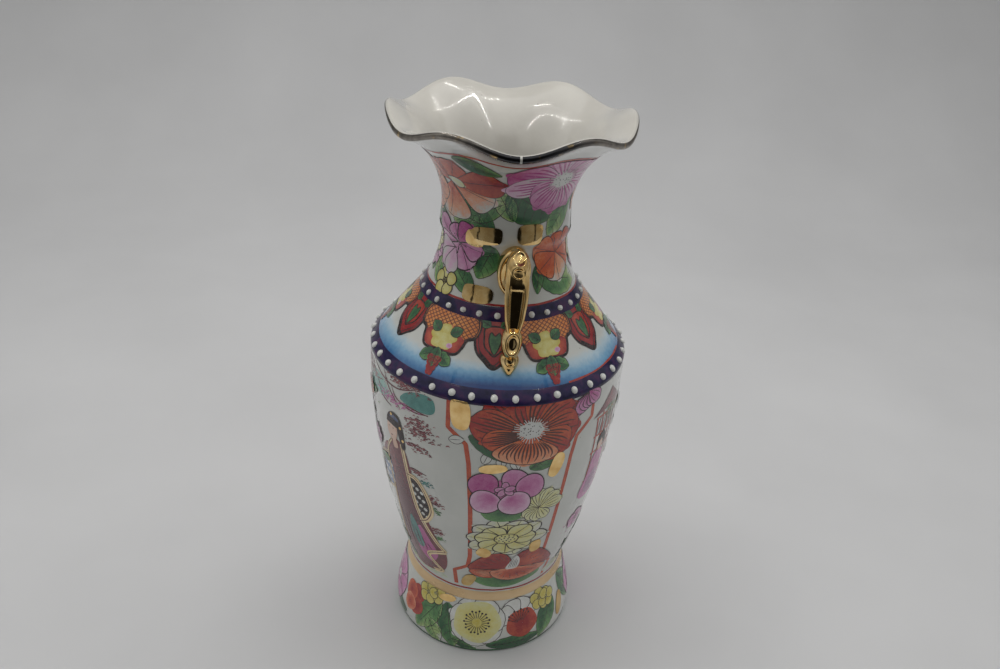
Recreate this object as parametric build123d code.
from build123d import *
import os
from math import atan2, cos, degrees, pi, radians, sin

# Porcelain vase with a ruffled mouth, two gilded handles and raised enamel beads.
# +Z is up and the origin is the centre of the foot ring's underside. The handles stand on -Y and +Y.

# ---- driving dimensions, mm ----
HEIGHT = 254.0            # foot ring to the crests of the ruffled lip
LOBES = 6                 # waves round the lip, with a dip above each handle
RUFFLE = 2.7              # half height of those waves at the rim
RIM_RADIUS = 50.6         # outermost edge of the lip
LIP_WALL = 3.0            # thickness of the lip
LIP_START = 214.0         # height where the neck starts to open into the lip
NECK_MID = 25.15          # middle of the neck's wall at LIP_START
NECK_WALL = 3.7           # thickness of that wall
NECK_BORE = 22.8          # inner radius of the neck at its narrowest
FOOT_RADIUS = 42.8        # outer radius where the foot meets the table
FOOT_RING_WIDTH = 5.0     # flat unglazed ring that the vase stands on
FOOT_RECESS = 4.0         # depth of the hollow under the foot
FLOOR_HEIGHT = 8.5        # inside floor of the vase
SHOULDER_RADIUS = 56.6    # widest part of the body
SHOULDER_EDGE = (56.2, 149.6)    # corner between the belly and the shoulder cone
CONE_TOP = (35.3, 175.3)         # upper end of the straight shoulder cone
ENAMEL = 0.30             # thickness of the painted enamel bands
GILDING = 0.20            # thickness of the gold bands
SHOULDER_BAND = (147.4, 153.6)   # lower and upper edge of the enamel band at the shoulder
NECK_BAND = (174.4, 180.2)       # lower and upper edge of the enamel band at the neck
FOOT_BAND = (28.2, 33.4)         # lower and upper edge of the gold band above the foot
SHOULDER_BEADS = 40
SHOULDER_BEAD = (1.55, 1.25, (55.4, 150.6))   # radius, stand-off, and the (radius, height) it sits on
NECK_BEADS = 30
NECK_BEAD = (1.35, 1.1, (34.5, 176.4))
HANDLE_WIDTH = 9.4        # across the strap of a handle
HANDLE_LEAN = 3.6         # degrees that the luted handles lean out of true
HANDLE_TURN = 3.0         # degrees that they sit off the front and back lines
HANDLE_MIDDLE = 180.0     # height about which they lean
PLATE_HALF = (6.5, 10.2)  # half width and half height of the plate luted to the neck
PLATE_HEIGHT = 194.5      # height of the plate's centre
PLATE_FRONT = 32.0        # distance of the plate's front from the axis
PLATE_DEPTH = 6.6         # how deep the plate reaches before it is cut to the neck
HEAD = ((35.0, 199.6), 4.6, 8.2, -12)     # centre, radius, half length and tilt of the handle's head
BOSS = ((46.0, 171.3), 4.1, 7.6, -16)     # the same for the egg under the strap
FINIAL = ((47.0, 161.9), 3.2, 5.0, -38)   # and for the drop that rests on the shoulder
STRAP_TOP = 202.0         # height where the strap leaves the head
STRAP_END = 173.0         # height of its lower tip, inside the boss
STRAP_TIP = 1.6           # half width of that tip
RECESS_SHOULDER = 4.0     # how far the underside's recess rounds into the foot ring
RIM_MEAN = HEIGHT - RUFFLE
CONE_SLOPE = degrees(atan2(SHOULDER_EDGE[0] - CONE_TOP[0], CONE_TOP[1] - SHOULDER_EDGE[1]))


# ---- outline of the body, as (radius, height) points ----
def curve(*points):
    """Bezier edge in the XZ plane through control points given as (radius, height)."""
    return Bezier(*[(radius, 0, height) for radius, height in points])


def straight(start, end):
    """Straight edge in the XZ plane between two (radius, height) points."""
    return Line((start[0], 0, start[1]), (end[0], 0, end[1]))


def outer_outline():
    """Foot bell, waist, belly, shoulder corner, cone and neck, from the foot ring to LIP_START."""
    waist = (37.9, 33.0)
    flare = (41.5, 47.6)
    belly_top = (SHOULDER_RADIUS, 143.0)
    ridge_foot = (26.2, 200.0)
    ridge_top = (27.4, 206.0)
    return [
        curve((FOOT_RADIUS, 0), (45.4, 8.0), (40.6, 20.0), waist),
        curve(waist, (37.4, 37.0), (39.8, 42.1), flare),
        curve(flare, (51.4, 79.6), (SHOULDER_RADIUS - 0.2, 113.0), belly_top),
        curve(belly_top, (SHOULDER_RADIUS, 146.0), (SHOULDER_RADIUS + 0.2, 148.4), SHOULDER_EDGE),
        straight(SHOULDER_EDGE, CONE_TOP),
        curve(CONE_TOP, (31.5, 180.0), (27.0, 190.0), ridge_foot),
        curve(ridge_foot, (26.0, 203.0), (27.5, 203.4), ridge_top),
        curve(ridge_top, (27.4, 208.0), (NECK_MID + NECK_WALL / 2, 210.5), lip_side(0, -1)),
    ]


def inner_outline():
    """Inside of the wall, from LIP_START down to the floor of the vase."""
    neck = (NECK_BORE, 203.0)
    cone_top = (31.8, 173.0)
    cone_foot = (52.6, 147.2)
    waist = (34.0, 33.0)
    heel = (37.0, 15.5)
    return [
        curve(lip_side(0, 1), (lip_side(0, 1)[0], 210.0), (NECK_BORE, 208.0), neck),
        curve(neck, (NECK_BORE, 192.0), (27.6, 178.2), cone_top),
        straight(cone_top, cone_foot),
        curve(cone_foot, (54.2, 124.0), (48.6, 79.6), (37.9, 48.5)),
        curve((37.9, 48.5), (35.6, 42.0), (33.6, 38.0), waist),
        curve(waist, (35.0, 26.0), (37.0, 20.0), heel),
        curve(heel, (37.0, 10.5), (34.0, FLOOR_HEIGHT), (29.0, FLOOR_HEIGHT)),
    ]


# ---- ruffled lip: a curved centre line with a thickness, waved round the mouth ----
def lip_centre(along):
    """Point and unit outward tangent on the lip's centre line, along = 0 at the neck, 1 at the rim."""
    radii = (NECK_MID, NECK_MID, 33.0, RIM_RADIUS - LIP_WALL / 2)
    heights = (LIP_START, 226.0, 243.0, RIM_MEAN - LIP_WALL / 2)
    back = 1 - along
    weights = (back ** 3, 3 * back ** 2 * along, 3 * back * along ** 2, along ** 3)
    slopes = (-back ** 2, back ** 2 - 2 * back * along, 2 * back * along - along ** 2, along ** 2)
    point = Vector(
        sum(w * r for w, r in zip(weights, radii)), 0, sum(w * h for w, h in zip(weights, heights))
    )
    tangent = Vector(
        sum(s * r for s, r in zip(slopes, radii)), 0, sum(s * h for s, h in zip(slopes, heights))
    )
    return point, tangent.normalized()


def lip_side(along, side):
    """(radius, height) on the lip's surface: side -1 is the outside, +1 the inside."""
    point, tangent = lip_centre(along)
    half = (NECK_WALL + (LIP_WALL - NECK_WALL) * along) / 2
    return point.X - side * tangent.Z * half, point.Z + side * tangent.X * half


def rim_round(turn, lift=0):
    """(radius, height) on the rounded edge, turn = -90 at the outside and +90 at the inside."""
    point, tangent = lip_centre(1)
    half = LIP_WALL / 2 + lift
    ahead = half * cos(radians(turn))
    across = half * sin(radians(turn))
    radius = point.X + ahead * tangent.X - across * tangent.Z
    return radius, point.Z + ahead * tangent.Z + across * tangent.X


def wave(angle, along):
    """Height that the ruffle adds: it dips over the handles and grows smoothly from the neck."""
    return RUFFLE * along ** 3 * cos(LOBES * angle)


def lip_ring(station, along):
    """Closed waved wire round the mouth at a (radius, height) station."""
    radius, height = station
    if along == 0:
        return Wire.make_circle(radius, Plane.XY.offset(height))
    steps = 8 * LOBES
    points = []
    for step in range(steps):
        angle = 2 * pi * step / steps
        points.append((radius * cos(angle), radius * sin(angle), height + wave(angle, along)))
    return Wire([Edge.make_spline(points, periodic=True)])


def lip_skin(stations):
    """Smooth shell through the waved rings at a list of ((radius, height), along) stations."""
    return Shell.make_loft([lip_ring(station, along) for station, along in stations])


def lip_solid():
    """The ruffled lip: outside, rounded rim and inside skins, closed by a flat ring at LIP_START."""
    ladder = [step / 6 for step in range(7)]
    outside = lip_skin([(lip_side(along, -1), along) for along in ladder])
    rim = lip_skin([(rim_round(turn), 1) for turn in (-90, -45, 0, 45, 90)])
    inside = lip_skin([(lip_side(along, 1), along) for along in reversed(ladder)])
    outer_edge = outside.edges().sort_by(Axis.Z)[0]
    inner_edge = inside.edges().sort_by(Axis.Z)[0]
    foot = Face(Wire([outer_edge]), [Wire([inner_edge])])
    return Solid(Shell(outside.faces() + rim.faces() + inside.faces() + [foot]))


def body_outline():
    """Closed half section of everything under the lip, hollow inside and recessed under the foot."""
    outer = outer_outline()
    inner = inner_outline()
    ring_inner = FOOT_RADIUS - FOOT_RING_WIDTH
    recess = (ring_inner - RECESS_SHOULDER, FOOT_RECESS)
    inside_floor = (inner[-1] @ 1).X
    return make_face(outer + inner + [
        straight(lip_side(0, -1), lip_side(0, 1)),
        straight((inside_floor, FLOOR_HEIGHT), (0, FLOOR_HEIGHT)),
        straight((0, FLOOR_HEIGHT), (0, FOOT_RECESS)),
        straight((0, FOOT_RECESS), recess),
        curve(recess, (ring_inner - 1.0, FOOT_RECESS), (ring_inner, 2.4), (ring_inner, 0)),
        straight((ring_inner, 0), (FOOT_RADIUS, 0)),
    ])


def filled_body():
    """The body as one lump without its hollow, for cutting what is luted to it."""
    top = lip_side(0, -1)
    section = make_face(outer_outline() + [
        straight(top, (0, LIP_START)),
        straight((0, LIP_START), (0, 0)),
        straight((0, 0), (FOOT_RADIUS, 0)),
    ])
    return revolve(section, Axis.Z).solid()


def porcelain_body():
    """The one-piece casting: turned body, neck and ruffled lip."""
    return (revolve(body_outline(), Axis.Z) + lip_solid()).solid()


# ---- bands laid over the glaze ----
def band(edges, thickness, slope):
    """Ring lying on the outside of the body between two heights, raised square to slope degrees."""
    section = body_outline()
    low, high = edges
    middle = (low + high) / 2
    window = Plane.XZ * Pos(SHOULDER_RADIUS, middle) * Rectangle(SHOULDER_RADIUS, high - low)
    raised = Pos(thickness * cos(radians(slope)), 0, thickness * sin(radians(slope))) * section
    layer = (raised - section) & window
    outside = layer.faces().sort_by(Axis.X)[-1]
    return revolve(outside, Axis.Z).solid()


def rim_gilding():
    """Gold laid round the rounded edge of the lip, following its waves."""
    turns = (-90, -45, 0, 45, 90)
    under = lip_skin([(rim_round(turn), 1) for turn in turns])
    over = lip_skin([(rim_round(turn, GILDING), 1) for turn in turns])
    outer_seam = lip_skin([(rim_round(-90), 1), (rim_round(-90, GILDING), 1)])
    inner_seam = lip_skin([(rim_round(90), 1), (rim_round(90, GILDING), 1)])
    faces = under.faces() + over.faces() + outer_seam.faces() + inner_seam.faces()
    return Solid(Shell(faces))


# ---- raised beads of enamel ----
def beads(radius, stand_off, surface, count, enamel, body):
    """Equal beads round the body: domes on the enamel band, cut to the shape of what they sit on."""
    sink = radius - stand_off - ENAMEL
    angle = radians(CONE_SLOPE)
    bead = Pos(surface[0] - sink * cos(angle), 0, surface[1] - sink * sin(angle)) * Sphere(radius)
    first = Rot(0, 0, 180 / count) * bead
    dome = (first - body - enamel).solids().sort_by(Axis.X)[-1]
    return Compound([Rot(0, 0, 360 * step / count) * dome for step in range(count)])


# ---- handles ----
def egg(centre, radius, half_length, tilt):
    """Egg-shaped boss at (distance out from the axis, height), tilted about its cross axis.

    Its seam line is turned sideways, clear of the face that may be cut to fit the body.
    """
    side = Plane.XZ * EllipticalCenterArc((0, 0), radius, half_length, -90, arc_size=180)
    section = make_face([side, Line((0, 0, half_length), (0, 0, -half_length))])
    return Pos(0, -centre[0], centre[1]) * Rot(tilt, 0, 0) * Rot(0, 0, 90) * revolve(section, Axis.Z)


def neck_plate():
    """Oval plate with a rounded front edge, which the head of the handle grows from."""
    outline = Plane.XZ.offset(PLATE_FRONT - PLATE_DEPTH) * Ellipse(PLATE_HALF[0], PLATE_HALF[1])
    plate = Pos(0, 0, PLATE_HEIGHT) * extrude(outline, amount=PLATE_DEPTH)
    front_edge = plate.edges().sort_by(Axis.Y)[0]
    return fillet(front_edge, PLATE_DEPTH * 0.45)


def strap():
    """Bowed strap, wide under the head and narrowing to a point above the lower boss."""
    side = make_face([
        curve((38.0, 201.0), (43.0, 195.0), (46.8, 186.0), (48.4, 174.5)),
        straight((48.4, 174.5), (44.6, 173.5)),
        curve((44.6, 173.5), (43.2, 183.0), (39.4, 190.6), (33.6, 195.5)),
        straight((33.6, 195.5), (38.0, 201.0)),
    ])
    bow = extrude(Rot(0, 0, -90) * side, amount=HANDLE_WIDTH, both=True)
    half = HANDLE_WIDTH / 2
    top = half - 0.6
    right = curve((top, STRAP_TOP), (half + 0.6, 192.0), (half + 0.2, 184.0), (STRAP_TIP, STRAP_END))
    front = make_face([
        straight((-top, STRAP_TOP), (top, STRAP_TOP)),
        right,
        straight((STRAP_TIP, STRAP_END), (-STRAP_TIP, STRAP_END)),
        mirror(right, Plane.YZ),
    ])
    return bow & extrude(front, amount=SHOULDER_RADIUS, both=True)


def front_handle():
    """Cast handle luted to the neck and the shoulder, with its two ends cut to fit them."""
    middle = Pos(0, 0, HANDLE_MIDDLE)
    placing = Rot(0, 0, HANDLE_TURN) * middle * Rot(0, HANDLE_LEAN, 0) * middle.inverse()
    head = placing * egg(*HEAD)
    boss = placing * egg(*BOSS)
    plate = placing * neck_plate()
    finial = placing * egg(*FINIAL)
    whole = plate + head + placing * strap() + boss + finial
    return (whole - filled_body()).solid()


def write(node, shape):
    """Write one named piece as its own STEP file."""
    shape.label = node
    export_step(shape, f"parts/{node}.step")


def main():
    os.makedirs("parts", exist_ok=True)
    body = porcelain_body()
    write("porcelain_body", body)
    shoulder_band = band(SHOULDER_BAND, ENAMEL, CONE_SLOPE)
    write("shoulder_enamel_band", shoulder_band)
    neck_band = band(NECK_BAND, ENAMEL, CONE_SLOPE)
    write("neck_enamel_band", neck_band)
    write("foot_gold_band", band(FOOT_BAND, GILDING, 0))
    write("rim_gilding", rim_gilding())
    write("shoulder_beads", beads(*SHOULDER_BEAD, SHOULDER_BEADS, shoulder_band, body))
    write("neck_beads", beads(*NECK_BEAD, NECK_BEADS, neck_band, body))
    front = front_handle()
    write("front_handle", front)
    write("back_handle", Rot(0, 0, 180) * front)


main()
